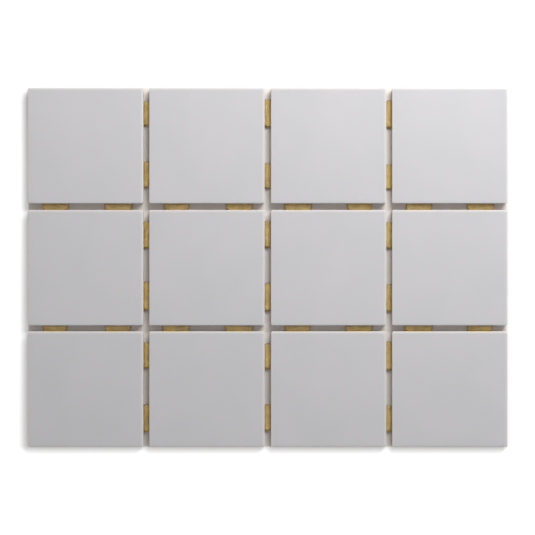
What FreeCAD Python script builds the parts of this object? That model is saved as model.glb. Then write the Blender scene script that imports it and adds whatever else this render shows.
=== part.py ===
import FreeCAD, Part
import os
import Sketcher

# Mosaic tile sheet: twelve square glazed tiles in four columns and three rows.
# Plastic dots poured across the joints, two to each tile side, hold the tiles together.
# Millimetres. X runs along the rows of four, Y up the sheet, Z out of the glazed faces.
# The origin is under the middle of the sheet, at the level of the dots' undersides.

# Every driving size of the sheet, in millimetres and degrees.
SIZES = {
    # Square tile, pressed and fired, with a cushioned edge round its glazed face.
    "tile_side": 97.0,
    "tile_thick": 6.0,
    "corner_radius": 1.5,
    "cushion_width": 2.6,
    "cushion_drop": 0.35,
    "arris_width": 0.8,
    # Pressed back: a flat border that the dots lie on, and square recesses between ribs.
    "seat_margin": 0.6,
    "rib_width": 3.5,
    "recess_count": 4,
    "recess_depth": 0.6,
    "recess_draft": 30.0,
    # Open joints between the columns and between the rows, as they were laid.
    "joint_c1c2": 4.9,
    "joint_c2c3": 5.2,
    "joint_c3c4": 4.8,
    "joint_r1r2": 5.5,
    "joint_r2r3": 5.0,
    # Poured dot: a thin round pad under the tiles, with a spine that rises into the joint.
    # Its round rim is drawn with short straight sides, because the sheet has so many dots.
    "dot_diameter": 22.8,
    "dot_sides": 40,
    "pad_thick": 1.0,
    "pad_slope": 0.8,
    "spine_rise": 1.5,
    "spine_slope": 0.9,
    # The dots were poured in a grid that lay a little off the tiles' middles, and slightly turned.
    # The skew is that turn as a slope. Wander and spread are what differs from dot to dot.
    "dot_spacing": 52.4,
    "drift_across": 0.3,
    "drift_up": 1.6,
    "dot_skew": 0.005,
    "dot_wander": 0.6,
    "dot_spread": 1.6,
}

COLUMN_JOINTS = ["joint_c1c2", "joint_c2c3", "joint_c3c4"]
ROW_JOINTS = ["joint_r1r2", "joint_r2r3"]
GOLDEN_SHARE = 0.618034
QUARTER_TURN = 90
MARGIN = 0.001


def make_sizes(doc):
    sheet = doc.addObject("Spreadsheet::Sheet", "Sizes")
    for row, (alias, value) in enumerate(SIZES.items(), start=1):
        sheet.set(f"A{row}", alias)
        sheet.set(f"B{row}", str(value))
        sheet.setAlias(f"B{row}", alias)
    doc.recompute()


def bind(item, sizes, settings):
    """Give an object its plain settings, and tie its sizes to expressions."""
    for key, value in settings.items():
        setattr(item, key, value)
    for key, expression in sizes.items():
        item.setExpression(key, expression)
    return item


def new_object(doc, kind, name, sizes, **settings):
    return bind(doc.addObject(f"Part::{kind}", name), sizes, settings)


def new_feature(body, kind, name, sizes, **settings):
    feature = bind(body.newObject(f"PartDesign::{kind}", name), sizes, settings)
    feature.recompute(True)
    return feature


def new_square(body, name, near, far):
    """Sketch of a square under the body, from one corner on its diagonal to the other."""
    sketch = body.newObject("Sketcher::SketchObject", name)
    plane = next(item for item in body.Origin.OriginFeatures if item.Role == "XY_Plane")
    sketch.AttachmentSupport = [(plane, "")]
    sketch.MapMode = "FlatFace"
    sheet = body.Document.getObject("Sizes")
    low = sheet.evalExpression(near)
    high = sheet.evalExpression(far)
    corners = [
        FreeCAD.Vector(low, low, 0), FreeCAD.Vector(high, low, 0),
        FreeCAD.Vector(high, high, 0), FreeCAD.Vector(low, high, 0),
    ]
    for side in range(4):
        sketch.addGeometry(Part.LineSegment(corners[side], corners[(side + 1) % 4]), False)
    for side in range(4):
        sketch.addConstraint(Sketcher.Constraint("Coincident", side, 2, (side + 1) % 4, 1))
    for side, kind in enumerate(("Horizontal", "Vertical", "Horizontal", "Vertical")):
        sketch.addConstraint(Sketcher.Constraint(kind, side))
    for kind in ("DistanceX", "DistanceY"):
        for line, value, expression in ((0, low, near), (2, high, far)):
            number = sketch.addConstraint(Sketcher.Constraint(kind, -1, 1, line, 1, value))
            sketch.setExpression(f"Constraints[{number}]", expression)
    return sketch


def edges_at(shape, height):
    """Names of the edges that lie level at one height."""
    return [
        f"Edge{number}"
        for number, edge in enumerate(shape.Edges, start=1)
        if abs(edge.BoundBox.ZMin - height) < MARGIN and abs(edge.BoundBox.ZMax - height) < MARGIN
    ]


def side_edges(shape):
    """Names of the edges that run straight up."""
    return [
        f"Edge{number}"
        for number, edge in enumerate(shape.Edges, start=1)
        if edge.BoundBox.ZLength > edge.Length - MARGIN
    ]


def side_top(shape):
    """Height at which the upright sides of a shape end."""
    return max(shape.getElement(name).BoundBox.ZMax for name in side_edges(shape))


def tile_centre(place, joints):
    """Centre of a tile, counted from 0, in a line of tiles and joints centred on the origin."""
    terms = [f"({place - len(joints) / 2}) * Sizes.tile_side"]
    terms += [f"Sizes.{joint} / 2" for joint in joints[:place]]
    terms += [f"(-Sizes.{joint} / 2)" for joint in joints[place:]]
    return "(" + " + ".join(terms) + ")"


def joint_centre(place, joints):
    """Centre of the joint that follows a tile in its line."""
    return f"({tile_centre(place, joints)} + (Sizes.tile_side + Sizes.{joints[place]}) / 2)"


def make_tile(doc, name, across, up):
    """Pressed tile: a square slab with a cushioned face, rounded corners and a ribbed back."""
    body = doc.addObject("PartDesign::Body", name)
    body.Label = name
    outline = new_square(body, f"{name}_outline", "-Sizes.tile_side / 2", "Sizes.tile_side / 2")
    slab = new_feature(body, "Pad", f"{name}_slab", {"Length": "Sizes.tile_thick"}, Profile=outline)

    # The face falls away gently towards its rim, and a narrow steeper facet ends it.
    cushion = new_feature(
        body, "Chamfer", f"{name}_cushion",
        {"Size": "Sizes.cushion_width", "Size2": "Sizes.cushion_drop"},
        Base=(slab, edges_at(slab.Shape, side_top(slab.Shape))),
        ChamferType="Two distances", FlipDirection=True,
    )
    arris = new_feature(
        body, "Chamfer", f"{name}_arris", {"Size": "Sizes.arris_width"},
        Base=(cushion, edges_at(cushion.Shape, side_top(cushion.Shape))),
    )
    new_feature(
        body, "Fillet", f"{name}_corners", {"Radius": "Sizes.corner_radius"},
        Base=(arris, side_edges(arris.Shape)),
    )

    # The border is wider than the largest dot's half. One recess is pressed at the corner of
    # the field inside it, and repeated both ways.
    border = "((Sizes.dot_diameter + Sizes.dot_spread) / 2 + Sizes.seat_margin)"
    field = f"(Sizes.tile_side - 2 * {border})"
    recess = f"(({field} + Sizes.rib_width) / Sizes.recess_count - Sizes.rib_width)"
    square = new_square(body, f"{name}_square", f"-{field} / 2", f"-{field} / 2 + {recess}")
    pocket = new_feature(
        body, "Pocket", f"{name}_recess",
        {"Length": "Sizes.recess_depth", "TaperAngle": "-Sizes.recess_draft"},
        Profile=square, Reversed=True,
    )
    body.Tip = new_feature(
        body, "LinearPattern", f"{name}_recesses",
        {
            "Length": f"{field} - {recess}", "Occurrences": "Sizes.recess_count",
            "Length2": f"{field} - {recess}", "Occurrences2": "Sizes.recess_count",
        },
        Originals=[pocket], Direction=(square, ["H_Axis"]), Direction2=(square, ["V_Axis"]),
    )
    return bind(body, {
        "Placement.Base.x": across, "Placement.Base.y": up, "Placement.Base.z": "Sizes.pad_thick",
    }, {})


def make_ring(doc, name, radius, height):
    """One level outline of a dot."""
    return new_object(doc, "RegularPolygon", name, {
        "Polygon": "Sizes.dot_sides", "Circumradius": radius, "Placement.Base.z": height,
    })


def make_seat(doc, name, start):
    """Room that a tile takes on one side of the joint, above the pad."""
    return new_object(doc, "Box", name, {
        "Length": "Sizes.dot_diameter + Sizes.dot_spread",
        "Width": "2 * (Sizes.dot_diameter + Sizes.dot_spread)",
        "Height": "2 * Sizes.spine_rise",
        "Placement.Base.x": start,
        "Placement.Base.y": "-(Sizes.dot_diameter + Sizes.dot_spread)",
        "Placement.Base.z": "Sizes.pad_thick",
    })


def make_dot(doc, name, joint, count, across, up, turn):
    """Poured dot: a round puck whose upper part the two tiles confine to their joint.

    The joint runs along the puck's own Y. The puck is widest at the tiles' backs, and slopes in
    below, where it was free, and above, where it ran into the joint.
    """
    radius = f"((Sizes.dot_diameter + {uneven(count, GOLDEN_SHARE / 2)} * Sizes.dot_spread) / 2)"
    puck = new_object(
        doc, "Loft", f"{name}_puck", {}, Solid=True, Ruled=True, Linearize=True,
        Sections=[
            make_ring(doc, f"{name}_foot", f"{radius} - Sizes.pad_slope", "0"),
            make_ring(doc, f"{name}_rim", radius, "Sizes.pad_thick"),
            make_ring(
                doc, f"{name}_crown", f"{radius} - Sizes.spine_slope",
                "Sizes.pad_thick + Sizes.spine_rise",
            ),
        ],
    )

    # The poured grid's drift and turn put the puck off the middle of its joint.
    off_across = f"(Sizes.drift_across + Sizes.dot_skew * {up})"
    off_up = f"(Sizes.drift_up - Sizes.dot_skew * {across})"
    off_joint = off_up if turn else off_across
    half = f"Sizes.{joint} / 2"
    low = make_seat(
        doc, f"{name}_low", f"-{half} - {off_joint} - Sizes.dot_diameter - Sizes.dot_spread"
    )
    high = make_seat(doc, f"{name}_high", f"{half} - {off_joint}")
    seats = new_object(doc, "Compound", f"{name}_seats", {}, Links=[low, high])

    axis = FreeCAD.Vector(0, 0, 1)
    along = f"{uneven(count, GOLDEN_SHARE)} * Sizes.dot_wander"
    dot = new_object(
        doc, "Cut", name, {
            "Placement.Base.x": f"{across} + {off_across}" + (f" + {along}" if turn else ""),
            "Placement.Base.y": f"{up} + {off_up}" + ("" if turn else f" + {along}"),
        },
        Label=name, Base=puck, Tool=seats,
        Placement=FreeCAD.Placement(FreeCAD.Vector(), FreeCAD.Rotation(axis, turn)),
    )
    return dot


def uneven(count, share):
    """Uneven but repeatable number between -1 and 1."""
    return f"({round(2 * (count * share % 1) - 1, 2)})"


def lay_tiles(doc):
    """Columns are counted along X, and rows down the sheet."""
    tiles = []
    for row in range(len(ROW_JOINTS) + 1):
        for column in range(len(COLUMN_JOINTS) + 1):
            name = f"tile_r{row + 1}_c{column + 1}"
            across = tile_centre(column, COLUMN_JOINTS)
            up = f"-{tile_centre(row, ROW_JOINTS)}"
            tiles.append(make_tile(doc, name, across, up))
    return tiles


def pour_dots(doc):
    """Two dots across every joint between two neighbouring tiles."""
    dots = []
    for place, joint in enumerate(COLUMN_JOINTS):
        across = joint_centre(place, COLUMN_JOINTS)
        for row in range(len(ROW_JOINTS) + 1):
            for word, side in (("upper", "+"), ("lower", "-")):
                name = f"dot_{joint[-4:]}_r{row + 1}_{word}"
                up = f"(-{tile_centre(row, ROW_JOINTS)} {side} Sizes.dot_spacing / 2)"
                dots.append(make_dot(doc, name, joint, len(dots), across, up, 0))
    for place, joint in enumerate(ROW_JOINTS):
        up = f"(-{joint_centre(place, ROW_JOINTS)})"
        for column in range(len(COLUMN_JOINTS) + 1):
            for word, side in (("left", "-"), ("right", "+")):
                name = f"dot_{joint[-4:]}_c{column + 1}_{word}"
                across = f"({tile_centre(column, COLUMN_JOINTS)} {side} Sizes.dot_spacing / 2)"
                dots.append(make_dot(doc, name, joint, len(dots), across, up, QUARTER_TURN))
    return dots


def check_objects(doc, tiles, dots):
    """Stop before anything is written if any object failed or any cut removed nothing."""
    for item in doc.Objects:
        if "Invalid" in item.State or "Error" in item.State:
            raise RuntimeError(f"{item.Name} failed: {item.State}")
    for piece in tiles + dots:
        if piece.Shape.isNull() or not piece.Shape.isValid() or len(piece.Shape.Solids) != 1:
            raise RuntimeError(f"{piece.Label} is not one valid solid")
    cuts = [(dot, dot.Base) for dot in dots]
    for tile in tiles:
        cuts += [(item, item.BaseFeature) for item in tile.Group if item.isDerivedFrom("PartDesign::Pocket")]
    for cut, base in cuts:
        if cut.Shape.Volume > base.Shape.Volume - MARGIN:
            raise RuntimeError(f"{cut.Label} removed nothing")


def main():
    doc = FreeCAD.newDocument("TileSheet")
    make_sizes(doc)
    tiles = lay_tiles(doc)
    dots = pour_dots(doc)
    doc.recompute()
    check_objects(doc, tiles, dots)
    os.makedirs("parts", exist_ok=True)
    for piece in tiles + dots:
        piece.Shape.exportStep(f"parts/{piece.Label}.step")
    print(len(tiles), "tiles and", len(dots), "dots written")


main()
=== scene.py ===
# %% [markdown]
# # A dot-mounted sheet of glazed tiles
# Twelve square grey tiles lie face up, four across and three down. Small dots of amber
# plastic, poured across the joints on the back, hold them together until they are bedded.
# This lesson gives every tile and every dot its finished shape and surface.

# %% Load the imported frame
import math

import bmesh
import bpy
import numpy as np
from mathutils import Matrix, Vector


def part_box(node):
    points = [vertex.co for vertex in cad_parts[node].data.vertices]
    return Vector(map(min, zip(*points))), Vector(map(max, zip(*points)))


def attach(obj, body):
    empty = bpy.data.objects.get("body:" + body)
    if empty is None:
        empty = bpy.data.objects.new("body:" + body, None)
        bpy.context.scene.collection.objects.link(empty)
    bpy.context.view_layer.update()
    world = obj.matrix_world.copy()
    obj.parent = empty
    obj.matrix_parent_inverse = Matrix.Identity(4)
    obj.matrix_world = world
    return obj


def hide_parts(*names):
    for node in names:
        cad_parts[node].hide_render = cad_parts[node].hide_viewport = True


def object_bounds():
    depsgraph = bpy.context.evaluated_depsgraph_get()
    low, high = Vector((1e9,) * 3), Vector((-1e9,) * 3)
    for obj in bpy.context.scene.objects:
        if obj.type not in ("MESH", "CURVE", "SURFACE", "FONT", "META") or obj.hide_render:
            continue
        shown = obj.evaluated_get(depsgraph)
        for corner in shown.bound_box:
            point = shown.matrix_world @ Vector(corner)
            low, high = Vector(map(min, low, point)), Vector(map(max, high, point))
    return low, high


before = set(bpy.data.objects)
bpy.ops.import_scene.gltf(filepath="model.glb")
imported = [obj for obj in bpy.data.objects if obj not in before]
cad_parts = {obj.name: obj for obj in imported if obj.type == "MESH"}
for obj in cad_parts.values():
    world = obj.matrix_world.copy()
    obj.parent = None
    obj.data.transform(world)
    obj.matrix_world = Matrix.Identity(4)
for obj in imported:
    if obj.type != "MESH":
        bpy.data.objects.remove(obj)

cad_box = [list(corner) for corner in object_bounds()]
print("nodes in the frame:", len(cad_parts))
print("box of the sheet in metres:", cad_box)

# %% [markdown]
# ## Working in millimetres
# Tiles are measured in millimetres and Blender's units are metres, so every shape below is
# worked out in millimetres and turned to metres at one place. A tile or a dot is never
# placed by hand: its box in the frame says where it is and how large.

# %% Boxes of tiles and dots
MM = 0.001


def box_mm(node):
    """Lowest and highest corner of a piece of the frame, in millimetres."""
    low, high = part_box(node)
    return np.array(low) / MM, np.array(high) / MM


tiles = sorted(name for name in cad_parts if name.startswith("tile_"))
dots = sorted(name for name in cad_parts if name.startswith("dot_"))
print(len(tiles), "tiles and", len(dots), "dots")

# %% [markdown]
# ## A skin from grids of points
# A fired tile and a poured dot are closed skins. Blender could sculpt them or cut them from
# boxes, but a grid of points with a formula for each point is exact and easy to change. The
# helper takes such grids, welds the points that fall together, which closes seams and poles,
# and turns the faces outwards.

# %% Helper that makes a mesh from grids
WELD_DECIMALS = 4
SHARP_ANGLE = 50


def skin(name, grids, finishes, values):
    """Closed mesh from grids of points in millimetres.

    Each grid is an array of rows, columns and xyz. Four neighbours make a face, and a face
    whose corners fall together becomes a triangle or goes. finishes gives one material
    number for each row of faces in each grid, and values one number for each point, which
    the materials read as the attribute tint.
    """
    quads, numbers, start = [], [], 0
    for grid, finish in zip(grids, finishes):
        rows, columns = grid.shape[:2]
        index = start + np.arange(rows * columns).reshape(rows, columns)
        quads.append(np.stack(
            [index[:-1, :-1], index[:-1, 1:], index[1:, 1:], index[1:, :-1]], axis=-1
        ).reshape(-1, 4))
        numbers.append(np.repeat(np.broadcast_to(finish, rows - 1), columns - 1))
        start += rows * columns
    points = np.concatenate([grid.reshape(-1, 3) for grid in grids])
    value = np.concatenate([each.reshape(-1) for each in values])

    # Points that agree to a ten-thousandth of a millimetre are one point.
    kept, first, which = np.unique(
        np.round(points, WELD_DECIMALS), axis=0, return_index=True, return_inverse=True
    )
    quads = which.reshape(-1)[np.concatenate(quads)]
    repeated = quads == np.roll(quads, -1, axis=1)
    sides = 4 - repeated.sum(axis=1)
    real = sides >= 3
    corners = quads[real][~repeated[real]]
    sides = sides[real]

    mesh = bpy.data.meshes.new(name)
    mesh.vertices.add(len(kept))
    mesh.vertices.foreach_set("co", (points[first] * MM).ravel())
    mesh.loops.add(len(corners))
    mesh.loops.foreach_set("vertex_index", corners)
    mesh.polygons.add(len(sides))
    mesh.polygons.foreach_set("loop_start", np.concatenate([[0], np.cumsum(sides)[:-1]]))
    mesh.polygons.foreach_set("material_index", np.concatenate(numbers)[real])
    mesh.update(calc_edges=True)
    mesh.validate()
    mesh.attributes.new("tint", "FLOAT", "POINT").data.foreach_set("value", value[first])
    turn_outwards(mesh)
    mesh.polygons.foreach_set("use_smooth", np.ones(len(mesh.polygons), dtype=bool))
    mesh.set_sharp_from_angle(angle=math.radians(SHARP_ANGLE))
    return mesh


def turn_outwards(mesh):
    """Make every face look out of the solid."""
    work = bmesh.new()
    work.from_mesh(mesh)
    bmesh.ops.recalc_face_normals(work, faces=work.faces)
    work.to_mesh(mesh)
    work.free()


def place(mesh, name, node, slot, materials):
    """Make the object for a finished mesh, which rides on the sheet and replaces its node."""
    piece = bpy.data.objects.new(name, mesh)
    bpy.context.scene.collection.objects.link(piece)
    for material in materials:
        mesh.materials.append(material)
    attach(piece, "root")
    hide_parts(node)


# %% [markdown]
# ## Colours and nodes
# A colour picker gives a colour as it looks on a screen, but light adds up in linear
# numbers, so one function turns the one into the other. Another adds a shader node and
# fills in its sockets. The rest are steps that come back in several recipes: noise of a
# given size, a drift between two tones, a blend, bumps and one step of arithmetic.

# %% Helpers for materials
def linear(code):
    """Linear red, green, blue and alpha from a hex colour as a screen shows it."""
    screen = np.array([int(code[at:at + 2], 16) for at in (0, 2, 4)]) / 255
    return (*np.where(screen <= 0.04045, screen / 12.92, ((screen + 0.055) / 1.055) ** 2.4), 1)


def new_material(name):
    """Material with an empty node tree, and the tree."""
    material = bpy.data.materials.new(name)
    material.use_nodes = True
    material.node_tree.nodes.clear()
    return material, material.node_tree


def add(tree, kind, inputs=None, **settings):
    """Add a node, set what it is given, and return it. A socket in inputs is linked."""
    node = tree.nodes.new(f"ShaderNode{kind}")
    for key, value in settings.items():
        setattr(node, key, value)
    for key, value in (inputs or {}).items():
        if isinstance(value, bpy.types.NodeSocket):
            tree.links.new(value, node.inputs[key])
        else:
            node.inputs[key].default_value = value
    return node


def noise(tree, vector, size, detail):
    """Soft noise around one half, with features of about the given size in millimetres."""
    return add(
        tree, "TexNoise", {"Vector": vector, "Scale": 1 / (size * MM), "Detail": detail}
    ).outputs["Fac"]


def two_tones(tree, factor, first, second):
    """Drift from one hex colour to another over the middle of the factor."""
    ramp = add(tree, "ValToRGB", {"Fac": factor})
    for stop, position, code in zip(ramp.color_ramp.elements, (0.3, 0.7), (first, second)):
        stop.position = position
        stop.color = linear(code)
    return ramp.outputs["Color"]


def blend(tree, factor, first, second):
    """Blend of two colours: the first where the factor is 0, the second where it is 1."""
    return add(
        tree, "Mix", {"Factor": factor, 6: first, 7: second}, data_type="RGBA"
    ).outputs[2]


def bumps(tree, height, strength, depth):
    """Normal that shows the height as bumps of the given depth in millimetres."""
    return add(
        tree, "Bump", {"Height": height, "Strength": strength, "Distance": depth * MM}
    ).outputs["Normal"]


def maths(tree, operation, *values):
    """One step of arithmetic on numbers or sockets."""
    return add(tree, "Math", dict(enumerate(values)), operation=operation).outputs[0]


# %% [markdown]
# ## The glaze
# The face of the tile is a satin ceramic glaze: a thin coat of grey glass, fired onto the
# clay. What the eye gets is a soft, wide shine over an even colour, a hint of cloudiness
# where the coat lies thicker or thinner, and a paler band along the edge, partly where the
# melting glass drew back and partly a painted highlight. Glass has an IOR of about 1.5.

# %% Material of the glazed face
CLOUD_SIZE = 38
# Orange peel is the fine ripple of a fired glaze.
PEEL_SIZE, PEEL_DEPTH = 2.6, 0.05

glaze, tree = new_material("satin_glaze")
place_on = add(tree, "TexCoord").outputs["Object"]
cloud = noise(tree, place_on, CLOUD_SIZE, detail=3)
tone = two_tones(tree, cloud, "c0bfc1", "c4c2c4")
peel = noise(tree, place_on, PEEL_SIZE, detail=1)
# Paler towards the edge: thinner glaze, and a painted highlight along the edge.
thin_glaze_and_highlight = add(tree, "Attribute", attribute_name="tint").outputs["Fac"]
coat = add(tree, "BsdfPrincipled", {
    "Base Color": blend(tree, thin_glaze_and_highlight, tone, linear("d9d6d4")),
    "Roughness": 0.5,
    "IOR": 1.5,
    "Normal": bumps(tree, peel, strength=0.06, depth=PEEL_DEPTH),
})
add(tree, "OutputMaterial", {"Surface": coat.outputs["BSDF"]})

# %% [markdown]
# ## The bare clay
# Below the glaze line the tile is fired clay, which tile makers call biscuit. It is matt and
# slightly pink, with a fine grain, and the high ribs of the back keep a pale dust of the
# wash that stops tiles sticking in the kiln. Height alone says where that dust is.

# %% Material of the bare body
GRAIN_SIZE, GRAIN_DEPTH = 0.9, 0.15
BLOTCH_SIZE = 14
# The dust lies full up to one height over the table and ends at the next.
DUST_FULL, DUST_ENDS = 1.05, 1.25

biscuit, tree = new_material("fired_clay_biscuit")
place_on = add(tree, "TexCoord").outputs["Object"]
grain = noise(tree, place_on, GRAIN_SIZE, detail=4)
blotch = noise(tree, place_on, BLOTCH_SIZE, detail=2)
clay = two_tones(tree, blotch, "86695a", "9a7d6d")
height = add(tree, "SeparateXYZ", {"Vector": place_on}).outputs["Z"]
dust = add(tree, "MapRange", {
    "Value": height, "From Min": DUST_ENDS * MM, "From Max": DUST_FULL * MM,
    "To Min": 0.0, "To Max": 0.55,
}).outputs["Result"]
speck = maths(tree, "MULTIPLY", dust, grain)
matt = add(tree, "BsdfPrincipled", {
    "Base Color": blend(tree, speck, clay, linear("e6e0d8")),
    "Roughness": 0.9,
    "IOR": 1.5,
    "Normal": bumps(tree, grain, strength=0.5, depth=GRAIN_DEPTH),
})
add(tree, "OutputMaterial", {"Surface": matt.outputs["BSDF"]})
print("tile finishes:", glaze.name, biscuit.name)

# %% [markdown]
# ## The shape of a tile
# A pressed tile is nearly flat on top, falls away over its last few millimetres as a
# cushion, and ends in a small round arris. The glaze runs over it and stops part of the way
# down the side. The back has a grid of square recesses, which give the mortar a hold.
# Chamfers and bevels on a cube would give straight facets, so the tile is a face grid, a
# back grid, and a rounded profile that is carried round the outline between them.

# %% Sizes of the tile
# Radius of the corners and of the arris, and points along a quarter of an arc.
CORNER, ARRIS, ARC_POINTS = 1.5, 0.45, 7
# The cushion's width and drop, the radius it turns a corner with, and the power of its fall.
CUSHION_WIDTH, CUSHION_DROP, CUSHION_TURN, CUSHION_POWER = 2.8, 0.36, 3.0, 2.5
# The back: plain border, ribs, recesses along a side, their depth and the run of their slopes.
BORDER, RIB, RECESSES, RECESS_DEPTH, RECESS_SLOPE = 12.8, 3.5, 4, 0.6, 0.5
BACK_EDGE = 0.5
# The glaze line: how far down, how far it wanders, its step, and its waves round the tile.
GLAZE_LINE, GLAZE_RUN, GLAZE_STEP = 2.9, 0.5, 0.12
GLAZE_RUN_COUNTS = 5, 13, 31
# Waves of the face: how many, their shortest and longest length, and their height.
WAVES, WAVE_LENGTHS, WAVE_HEIGHT = 4, (24, 60), 0.012
# How pale the side gets, from thinner glaze and a painted highlight, and what each ring
# from the arris down adds.
THIN_GLAZE_AND_HIGHLIGHT, THIN_GLAZE_AND_HIGHLIGHT_POWER = 0.6, 1.5
THIN_GLAZE_AND_HIGHLIGHT_AT_ARRIS = 0.05, 0.1, 0.15, 0.1, 0, -0.2, -0.4, -0.5
# Grid lines: over the slope of a recess, and inwards from where the corner arc begins.
SLOPE_STATIONS = np.array([0, 0.2, 0.5, 1.2])
MARGIN_STATIONS = np.array([0, 0.25, 0.5, 0.9, 1.8, 5.0, 8.0])


def recess_starts(half):
    """Low edge and width of each recess along one side of the back."""
    field = 2 * (half - BORDER)
    width = (field + RIB) / RECESSES - RIB
    return -field / 2 + np.arange(RECESSES) * (width + RIB), width


def side_stations(half):
    """Places along a side where the grids have a line: close together at edges and slopes."""
    starts, width = recess_starts(half)
    cell = np.concatenate([SLOPE_STATIONS, [width / 2], width - SLOPE_STATIONS[::-1]])
    margin = half - CORNER - MARGIN_STATIONS
    stations = np.concatenate([(starts[:, None] + cell).ravel(), margin, -margin])
    return np.unique(np.round(stations, WELD_DECIMALS))


# %% [markdown]
# The die that presses the tile gives the face its cushion. It falls slowly at first and
# steeply at the side, which a power of the distance gives, and it turns the corners in an
# arc, so the shine bends round them and no crease runs to the middle.
#
# The glaze settles in very low waves, far too low to see as relief, but they make a
# reflection drift a little as it crosses the tile. A few long sine waves in uneven
# directions do that, and each tile draws its own from one seeded list of random numbers.

# %% Heights of the face and of the back
def on_cushion(x, y, half):
    """How far a point has come onto the cushion: 0 where it starts and 1 at the tile's side.

    The cushion starts along a square with rounded corners, and the distance to the side is
    measured square to that line.
    """
    reach = half - CUSHION_TURN
    outward = np.stack([np.abs(x) - reach, np.abs(y) - reach])
    beyond = np.hypot(*np.maximum(outward, 0)) + np.minimum(outward.max(axis=0), 0)
    inset = CUSHION_TURN - beyond
    return np.clip((CUSHION_WIDTH - inset) / CUSHION_WIDTH, 0, 1)


def face_height(x, y, half, waves):
    """Height of the glazed face below its highest level, as a number below zero.

    The drop of the cushion grows with a power of how far a point has come onto it, so most
    of the fall is near the side. The waves are sines of the distance along a direction.
    """
    cushion = CUSHION_DROP * on_cushion(x, y, half) ** CUSHION_POWER
    swell = sum(np.sin(x * across + y * up + turn) for across, up, turn in waves) / len(waves)
    return -cushion - WAVE_HEIGHT * (1 - swell)


def back_height(x, y, half):
    """Height of the back above its border: the product of a ramp along x and one along y.

    A ramp rises softly from 0 at the edge of a recess to 1 at the foot of its slope.
    """
    starts, width = recess_starts(half)

    def ramp(place):
        inside = np.minimum(place[..., None] - starts, starts + width - place[..., None])
        share = np.clip(inside / RECESS_SLOPE, 0, 1).max(axis=-1)
        return share * share * (3 - 2 * share)

    return RECESS_DEPTH * ramp(x) * ramp(y)


# %% [markdown]
# The outline is drawn once, as the square on which the corner arcs have their centres and
# a direction outwards for each point. A ring of the profile is that square moved outwards
# by the corner radius less the ring's inset, so arcs and straights meet without a gap.

# %% Tile skin
def outline(stations):
    """Square through the centres of the corner arcs, with the way outwards at each point."""
    arc = np.linspace(0, math.pi / 2, ARC_POINTS)[1:-1]
    reach = stations[-1]
    x = np.concatenate([stations, np.full(len(arc), reach)])
    y = np.full(len(x), -reach)
    out_x = np.concatenate([np.zeros(len(stations)), np.sin(arc)])
    out_y = np.concatenate([-np.ones(len(stations)), -np.cos(arc)])
    sides = [(x, y, out_x, out_y)]
    for _ in range(3):
        x, y, out_x, out_y = -y, x, -out_y, out_x
        sides.append((x, y, out_x, out_y))
    joined = np.concatenate([np.stack(side) for side in sides], axis=1)
    return np.concatenate([joined, joined[:, :1]], axis=1)


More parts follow.
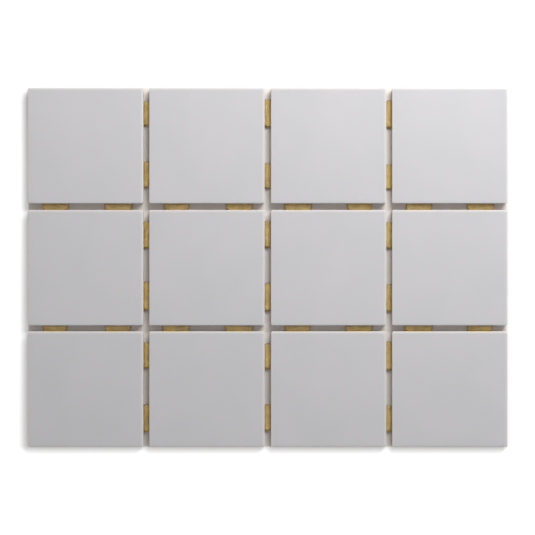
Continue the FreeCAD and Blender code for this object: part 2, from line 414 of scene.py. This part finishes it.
def tile_skin(name, node, chance):
    """Glazed tile in its node's box.

    Rings run from the face over the arris, down the glazed side to the glaze line, back by
    the thickness of the glaze, down the bare side and under the tile.
    """
    low, high = box_mm(node)
    middle = (low + high) / 2
    half = (high[0] - low[0]) / 2
    stations = side_stations(half)
    length = chance.uniform(*WAVE_LENGTHS, WAVES)
    angle = chance.uniform(0, math.pi, WAVES)
    turn = chance.uniform(0, 2 * math.pi, WAVES)
    waves = np.stack([np.cos(angle), np.sin(angle), turn])
    waves[:2] *= 2 * math.pi / length
    waves = waves.T

    x, y = np.meshgrid(stations, stations, indexing="ij")
    face = np.stack([x, y, high[2] + face_height(x, y, half, waves)], axis=-1)
    back = np.stack([x, y, low[2] + back_height(x, y, half)], axis=-1)

    # The glaze line wanders up and down the side as a few sines of the way round.
    around = outline(stations)
    way = np.linspace(0, 2 * math.pi, around.shape[1])
    starts = chance.uniform(0, 2 * math.pi, len(GLAZE_RUN_COUNTS))
    wander = sum(np.sin(way * count + start) for count, start in zip(GLAZE_RUN_COUNTS, starts))
    line = high[2] - GLAZE_LINE + GLAZE_RUN * wander / len(GLAZE_RUN_COUNTS)

    # How far each ring lies in from the tile's side.
    bend = np.linspace(0, math.pi / 2, ARC_POINTS)
    foot = bend[::2]
    inset = np.concatenate([
        [CORNER, (CORNER + ARRIS) / 2],
        ARRIS * (1 - np.sin(bend)),
        [0, 0, 0.3 * GLAZE_STEP, GLAZE_STEP, GLAZE_STEP],
        GLAZE_STEP + BACK_EDGE * (1 - np.cos(foot)),
        [CORNER],
    ])
    out = CORNER - inset[:, None]
    ring_x = around[0] + out * around[2]
    ring_y = around[1] + out * around[3]

    # How high each ring lies: on the face and the arris, down the side, round the back edge.
    curved = 2 + len(bend)
    top = high[2] + face_height(ring_x[:curved], ring_y[:curved], half, waves)
    top[2:] -= (ARRIS * (1 - np.cos(bend)))[:, None]
    side = [
        (top[-1] + line) / 2,
        line + GLAZE_STEP,
        line,
        line - 0.5 * GLAZE_STEP,
        (line + low[2]) / 2,
    ]
    under = low[2] + np.append(BACK_EDGE * (1 - np.sin(foot)), 0)
    ring_z = np.concatenate([top, side, np.tile(under[:, None], len(way))])
    band = np.stack([ring_x, ring_y, ring_z], axis=-1)

    # Paler over the cushion and palest round the arris, where the glaze thins and a highlight
    # is painted on; less pale below, where it thickens.
    glazed = curved + 2
    thin_glaze_and_highlight_share = THIN_GLAZE_AND_HIGHLIGHT * on_cushion(ring_x, ring_y, half) ** THIN_GLAZE_AND_HIGHLIGHT_POWER
    thin_glaze_and_highlight_share[glazed - len(THIN_GLAZE_AND_HIGHLIGHT_AT_ARRIS):glazed] += np.array(THIN_GLAZE_AND_HIGHLIGHT_AT_ARRIS)[:, None]
    thin_glaze_and_highlight_share = np.clip(thin_glaze_and_highlight_share, 0, 1)

    grids = [grid + [middle[0], middle[1], 0] for grid in (face, back, band)]
    finishes = [0, 1, np.where(np.arange(len(inset) - 1) < glazed, 0, 1)]
    values = [THIN_GLAZE_AND_HIGHLIGHT * on_cushion(x, y, half) ** THIN_GLAZE_AND_HIGHLIGHT_POWER, np.zeros_like(x), thin_glaze_and_highlight_share]
    return skin(name, grids, finishes, values)


chance = np.random.default_rng(4)
for node in tiles:
    mesh = tile_skin(f"{node}_glazed", node, chance)
    place(mesh, f"{node}_glazed", node, "glazed_tile", [glaze, biscuit])
print("faces in a tile:", len(mesh.polygons))

# %% [markdown]
# ## The plastic of the dots
# The dots are amber PVC, poured hot and set to a soft solid. It is glossy and translucent:
# light goes in and comes out again some millimetres away, so the shadows in a joint look
# soft and warm on it. Subsurface scattering gives that. Brown is painted on the steep rim
# and the ends of the spine as painted shade.

# %% Material of the dots
SMEAR_SIZE = 5
LIGHT_REACH = 6

plastic, tree = new_material("amber_pvc")
place_on = add(tree, "TexCoord").outputs["Object"]
smear = noise(tree, place_on, SMEAR_SIZE, detail=2)
tone = two_tones(tree, smear, "b29a60", "cab478")
# Painted shade: the attribute turns the rim and the spine's ends brown.
rim = add(tree, "Attribute", attribute_name="tint").outputs["Fac"]
gel = add(tree, "BsdfPrincipled", {
    "Base Color": blend(tree, rim, tone, linear("5a4628")),
    "Roughness": 0.3,
    "IOR": 1.53,
    "Subsurface Weight": 0.8,
    "Subsurface Radius": (1.0, 0.95, 0.5),
    "Subsurface Scale": LIGHT_REACH * MM,
})
add(tree, "OutputMaterial", {"Surface": gel.outputs["BSDF"]})

# %% [markdown]
# ## The shape of a dot
# A dot is a puddle that set where it was poured: a thin round pad under both tiles, and a
# spine that the joint shaped, with a soft crown and rounded ends. The plastic slumps before
# it sets, so the ends lie back a little, and in the joints across the sheet one side more
# than the other. Every upright slice along the joint is one closed line, and the dot is
# those lines set side by side, which keeps a grid line exactly on each tile's side, where
# the surface steps up.

# %% Dot skin
# Thickness of the pad, how far the spine rises over it, and how far its crown rounds off.
PAD, RISE, CROWN, CROWN_POWER = 1.0, 1.5, 0.35, 2.5
# How far the foot of the pad and the ends of the spine curve in.
FOOT_SLOPE, END_SLOPE = 0.8, 0.9
# The pad stays a hair below the tile backs, so two surfaces never lie in one plane.
LIFT = 0.015
# Least and most slump of a spine's ends, at the one and the other side of its joint.
SLUMP_UP = (0.0, 0.5), (0.0, 0.5)
SLUMP_ACROSS = (1.0, 1.8), (0.0, 0.4)
PAD_STATIONS, SPINE_STATIONS = 14, 11
# Painted shade on the outer rim: how strong, from what share of the radius, over what share,
# and above where.
PAINTED_RIM_SHADE, PAINTED_RIM_SHADE_START, PAINTED_RIM_SHADE_RUN, PAINTED_RIM_SHADE_ABOVE = 0.6, 0.88, 0.08, 0.4


def dot_skin(name, node, joint_low, joint_high, lengthways, slump):
    """Poured dot in its node's box, with a spine between the sides of two tiles.

    A slice at a distance across the joint runs out along the underside, up the round rim,
    up the end of the spine, and back along the top. The radius grows from the foot to the
    pad's rim and shrinks again to the crown, each along a quarter of an ellipse. Each end of
    the spine lies further back by the slump, which runs evenly from one side of the joint to
    the other.
    """
    low, high = box_mm(node)
    middle = (low + high) / 2
    radius = (high[0] - low[0]) / 2
    cross = 0 if lengthways else 1
    first = joint_low - middle[cross]
    second = joint_high - middle[cross]

    # Stations across: pad, wall, spine, wall, pad. Walls repeat a station at two heights.
    bend = math.pi / 2
    left = radius * np.sin(np.linspace(-bend, math.asin(first / radius), PAD_STATIONS))
    spine = np.linspace(first, second, SPINE_STATIONS)
    right = radius * np.sin(np.linspace(math.asin(second / radius), bend, PAD_STATIONS))
    across = np.concatenate([left, spine, right])[:, None]
    raised = np.zeros_like(across)
    raised[len(left):len(left) + len(spine)] = 1
    share = np.clip((across - first) / (second - first), 0, 1) * 2 - 1
    top = PAD - LIFT + raised * (RISE + LIFT - CROWN * np.abs(share) ** CROWN_POWER)
    lean = across / radius
    chord = np.sqrt(np.maximum(1 - lean ** 2, 0))
    lag = slump[0] * (1 - share) / 2 + slump[1] * (1 + share) / 2

    # Stations round a slice, for its front half: underside, rim, end of the spine, top.
    out = np.linspace(0, 1, 5)
    rim = np.linspace(0, 1, 6)[1:]
    end = np.linspace(0, 1, 7)[1:]
    back = np.linspace(1, 0, 9)[1:]
    foot_radius = radius - FOOT_SLOPE
    rim_radius = radius - FOOT_SLOPE * (1 - np.sin(rim * bend))
    rim_height = (PAD - LIFT) * (1 - np.cos(rim * bend))
    end_radius = radius - END_SLOPE * (1 - np.cos(end * bend))
    rounded = np.sqrt(np.maximum(end_radius ** 2 - across ** 2, 0))
    rounded = rounded - lag * (1 - np.cos(end * bend))
    crown = np.sqrt(np.maximum((radius - END_SLOPE) ** 2 - across ** 2, 0)) - lag
    edge = (1 - raised) * radius * chord

    # Each part gives the places across, along and up: a, b and c.
    parts = [np.broadcast_arrays(*part) for part in (
        (foot_radius * lean, foot_radius * chord * out, 0.0),
        (rim_radius * lean, rim_radius * chord, rim_height),
        (across, raised * rounded + edge, PAD - LIFT + (top - PAD + LIFT) * np.sin(end * bend)),
        (across, (raised * crown + edge) * back, top),
    )]
    a, b, c = (np.concatenate(each, axis=1) for each in zip(*parts))

    # The rear half is the front half mirrored and walked back.
    a = np.concatenate([a, a[:, ::-1]], axis=1)
    b = np.concatenate([b, -b[:, ::-1]], axis=1)
    c = np.concatenate([c, c[:, ::-1]], axis=1)
    grid = np.stack([a, b, c] if lengthways else [b, a, c], axis=-1)
    grid = grid + [middle[0], middle[1], low[2]]

    # Painted shade: brown on the outer rim and the ends of the spine, more where they stand
    # high.
    outer = np.clip((np.hypot(a, b) / radius - PAINTED_RIM_SHADE_START) / PAINTED_RIM_SHADE_RUN, 0, 1)
    steep = np.clip((c - PAINTED_RIM_SHADE_ABOVE) / PAD, 0, 1)
    return skin(name, [grid], [0], [PAINTED_RIM_SHADE * outer * steep])


def joint_sides(node):
    """The two tile sides that a dot lies between, and whether its joint runs up the sheet."""
    low, high = box_mm(node)
    middle = (low + high) / 2
    lengthways = node.split("_")[1].startswith("c")
    cross, along = (0, 1) if lengthways else (1, 0)
    boxes = [box_mm(tile) for tile in tiles]
    beside = [(l, h) for l, h in boxes if l[along] < middle[along] < h[along]]
    below = max(h[cross] for l, h in beside if h[cross] < middle[cross])
    above = min(l[cross] for l, h in beside if l[cross] > middle[cross])
    return below, above, lengthways


for node in dots:
    below, above, lengthways = joint_sides(node)
    spans = SLUMP_UP if lengthways else SLUMP_ACROSS
    slump = [chance.uniform(*span) for span in spans]
    mesh = dot_skin(f"{node}_poured", node, below, above, lengthways, slump)
    place(mesh, f"{node}_poured", node, "mounting_dot", [plastic])
print("faces in a dot:", len(mesh.polygons))

# %% [markdown]
# ## Floor
# The sheet lies on a plain white table, which takes its soft shadow. Within the sheet's
# outline the table's colour is painted a little warm, as painted bounce light from clay and
# plastic, and outside it is neutral. A little extra light lifts the open table to pure white.
# Only the eye gets it, straight, in a reflection or through something clear, so it lights
# nothing else. It is weakest towards the lamp, where the table is bright already, and it
# fades out near the sheet, so the shadow and the joints keep their depth. From below the
# table is clear, so the back of the sheet can be looked at.

# %% White table
# Direction away from the lamp, where along it extra light begins and is full, and how much.
FROM_LAMP = (-0.65, -1.25, 0)
EXTRA_BEGINS, EXTRA_FULL, EXTRA_MOST = -0.235, 0.02, 0.25


def for_the_eye(tree):
    """Factor that is 1 for rays that are seen, mirrored or go through glass, else 0."""
    path = add(tree, "LightPath").outputs
    seen = maths(tree, "MAXIMUM", path["Is Camera Ray"], path["Is Glossy Ray"])
    return maths(tree, "MAXIMUM", seen, path["Is Transmission Ray"])


def fade_in(tree, distance, near, far, most):
    """Number that grows softly from 0 at one distance in millimetres to most at another."""
    return add(tree, "MapRange", {
        "Value": distance, "From Min": near * MM, "From Max": far * MM,
        "To Min": 0.0, "To Max": most,
    }, interpolation_type="SMOOTHSTEP").outputs["Result"]


table, tree = new_material("white_table")
place_on = add(tree, "TexCoord").outputs["Object"]
spot = add(tree, "SeparateXYZ", {"Vector": place_on}).outputs
sheet_low, sheet_high = (np.array(corner) for corner in cad_box)
middle, half = (sheet_low + sheet_high) / 2, (sheet_high - sheet_low) / 2

# How far a point lies outside the sheet: to the side, up or down, and the larger of both.
away = []
for axis in (0, 1):
    off_middle = maths(tree, "ABSOLUTE", maths(tree, "SUBTRACT", spot[axis], middle[axis]))
    away.append(maths(tree, "SUBTRACT", off_middle, half[axis]))
farther = maths(tree, "MAXIMUM", *away)
outside = fade_in(tree, farther, near=0, far=1.2, most=1.0)
beside = fade_in(tree, away[0], near=1, far=15, most=0.28)
beyond = fade_in(tree, away[1], near=-0.5, far=8, most=0.43)
distant = fade_in(tree, farther, near=20, far=400, most=0.8)

# The extra light: a part that grows away from the lamp, and what the distances add.
along = add(tree, "VectorMath", {0: place_on, 1: FROM_LAMP}, operation="DOT_PRODUCT")
slope = add(tree, "MapRange", {
    "Value": along.outputs["Value"], "From Min": EXTRA_BEGINS, "From Max": EXTRA_FULL,
    "To Min": 0.0, "To Max": EXTRA_MOST,
}).outputs["Result"]
glow = maths(tree, "MULTIPLY_ADD", outside, slope, beside)
for part in (beyond, distant):
    glow = maths(tree, "ADD", glow, part)
extra = maths(tree, "MULTIPLY", for_the_eye(tree), glow)

# Painted bounce light: a warm table colour within the sheet's outline, neutral outside.
tone = blend(tree, outside, linear("ebe6df"), linear("eaeaea"))
paper = add(tree, "BsdfDiffuse", {"Color": tone})
shine = add(tree, "Emission", {"Color": (1, 1, 1, 1), "Strength": extra})
both = add(tree, "AddShader", {0: paper.outputs[0], 1: shine.outputs[0]})
under = add(tree, "NewGeometry").outputs["Backfacing"]
shadow = add(tree, "LightPath").outputs["Is Shadow Ray"]
one_sided = add(tree, "MixShader", {
    0: maths(tree, "MAXIMUM", under, shadow),
    1: both.outputs[0],
    2: add(tree, "BsdfTransparent").outputs[0],
})
add(tree, "OutputMaterial", {"Surface": one_sided.outputs[0]})

# The table top lies a hair under the dots, so two surfaces never lie in one plane.
REACH = 2.5
LEVEL = -0.02 * MM
top = bpy.data.meshes.new("table_top")
top.from_pydata(
    [(x * REACH, y * REACH, LEVEL) for x, y in ((-1, -1), (1, -1), (1, 1), (-1, 1))],
    [], [(0, 1, 2, 3)],
)
top.materials.append(table)
table_top = bpy.data.objects.new("table_top", top)
bpy.context.scene.collection.objects.link(table_top)

# %% [markdown]
# ## Light
# One large soft lamp hangs near the upper right corner of the sheet, so the tiles are
# brightest there and the shadow falls to the lower left. A photographer takes the glare
# off glazed tiles with a polarising filter. Here the lamp is split into two at one place,
# and the one with two thirds of the light stays out of reflections. The sky around is a
# weak even grey, which keeps the shadows open, and the camera sees it white. The back lamp
# shines straight up and serves views from below only. Its light never bounces and stays
# out of reflections, so nothing of it comes up through the joints.

# %% Lamp and sky
LAMP_PLACE = Vector((0.345, 0.690, 0.590))
LAMP_SIZE = 0.7, 0.35
LAMP_POWER = 10.4
# The share of the lamp that reflections show, and the strength of the sky.
MIRRORED = 0.35
SKY = 0.40

for name, share, mirrored in (
    ("soft_lamp", MIRRORED, True),
    ("soft_lamp_filtered", 1 - MIRRORED, False),
):
    lamp_data = bpy.data.lights.new(name, "AREA")
    lamp_data.shape = "RECTANGLE"
    lamp_data.size, lamp_data.size_y = LAMP_SIZE
    lamp_data.energy = LAMP_POWER * share
    lamp = bpy.data.objects.new(name, lamp_data)
    lamp.location = LAMP_PLACE
    lamp.rotation_euler = (-LAMP_PLACE).to_track_quat("-Z", "Y").to_euler()
    lamp.visible_camera = False
    lamp.visible_glossy = mirrored
    bpy.context.scene.collection.objects.link(lamp)

below_data = bpy.data.lights.new("back_lamp", "SUN")
below_data.energy = 3.0
below_data.angle = math.radians(4)
below_data.cycles.max_bounces = 0
below = bpy.data.objects.new("back_lamp", below_data)
below.rotation_euler = (math.pi, 0, 0)
below.visible_glossy = False
bpy.context.scene.collection.objects.link(below)

world = bpy.data.worlds.new("plain_sky")
bpy.context.scene.world = world
world.use_nodes = True
tree = world.node_tree
tree.nodes.clear()
direction = add(tree, "TexCoord").outputs["Generated"]
height = add(tree, "SeparateXYZ", {"Vector": direction}).outputs["Z"]
downward = maths(tree, "LESS_THAN", height, 0.0)
bright = maths(tree, "MAXIMUM", for_the_eye(tree), downward)
strength = add(tree, "MapRange", {"Value": bright, "To Min": SKY, "To Max": 1.0})
sky = add(tree, "Background", {"Color": (1, 1, 1, 1), "Strength": strength.outputs["Result"]})
add(tree, "OutputWorld", {"Surface": sky.outputs[0]})

# %% [markdown]
# ## Camera
# The sheet is seen from straight above. The lens follows from how wide a strip the picture
# is to show at the height of the glazed faces.

# %% Camera straight above
VIEW_WIDTH = 449.1 * MM
VIEW_HEIGHT = 1.1
OFF_CENTRE = (-0.15 * MM, -0.07 * MM)

camera_data = bpy.data.cameras.new("camera")
camera_data.sensor_fit = "HORIZONTAL"
camera_data.lens = camera_data.sensor_width * VIEW_HEIGHT / VIEW_WIDTH
camera = bpy.data.objects.new("camera", camera_data)
camera.location = (*OFF_CENTRE, sheet_high[2] + VIEW_HEIGHT)
bpy.context.scene.collection.objects.link(camera)
bpy.context.scene.camera = camera
bpy.context.scene.view_settings.view_transform = "Standard"
print("lens in mm:", round(camera_data.lens, 1))
